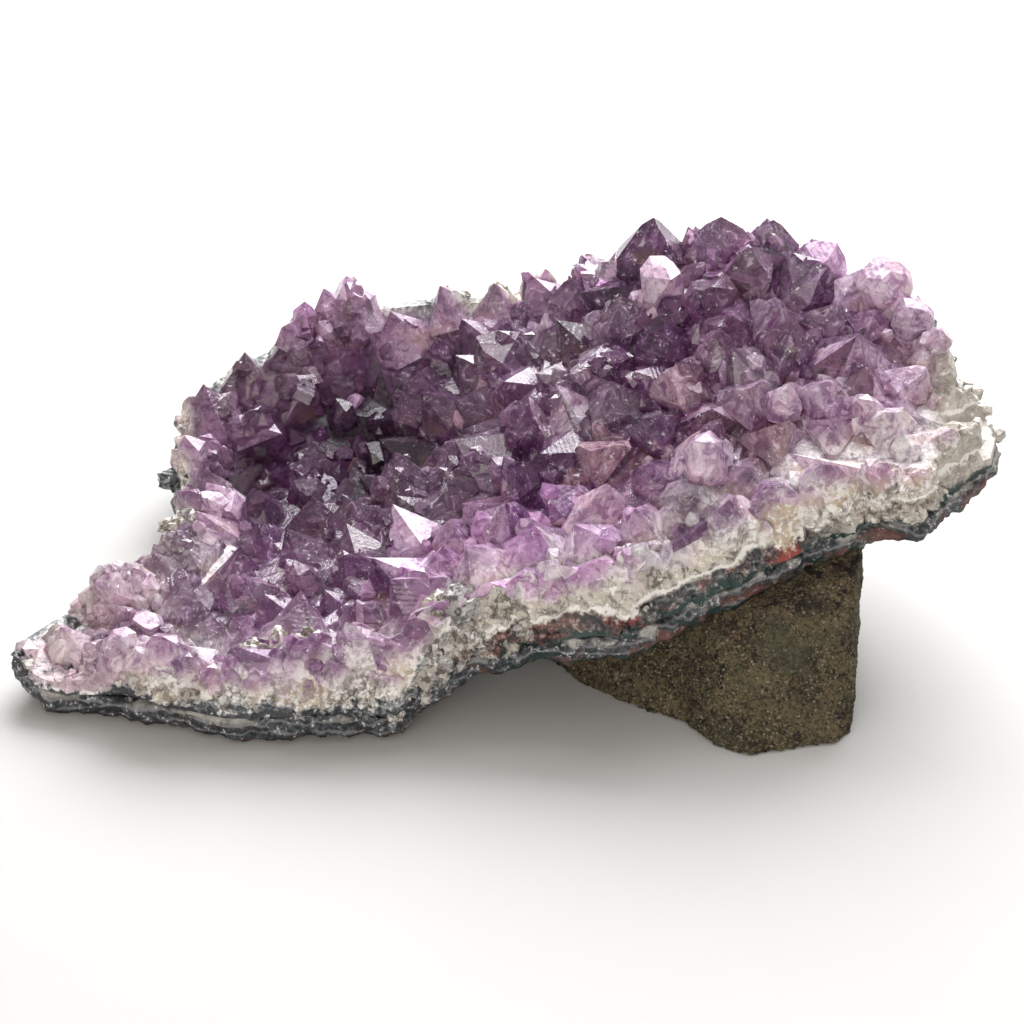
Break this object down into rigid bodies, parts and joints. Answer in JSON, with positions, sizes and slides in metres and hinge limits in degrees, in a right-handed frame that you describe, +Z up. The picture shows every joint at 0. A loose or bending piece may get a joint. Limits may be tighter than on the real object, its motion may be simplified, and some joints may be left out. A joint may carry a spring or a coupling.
{
  "type": "amethyst cluster",
  "caption": "Tilted plate of amethyst crystals grown on a thin rind of grey agate, held up at its right by a block of basalt that is still stuck underneath.",
  "frame": {"origin": "on the table, under the middle of the bounding box", "axes": "+X along the plate from its low left tip to its raised right end, +Y away from the viewer, +Z up"},
  "size_m": [0.1632, 0.1038, 0.0614],
  "materials": {
    "amethyst_crust": "glossy crystal faces, purple at the tips and white at the foot",
    "agate_rind": "matt, rough fracture",
    "basalt_block": "matt, fine grained"
  },
  "bodies": {
    "root": {"amethyst_crust": "amethyst_crust", "agate_rind": "agate_rind", "basalt_block": "basalt_block"}
  },
  "joints": []
}
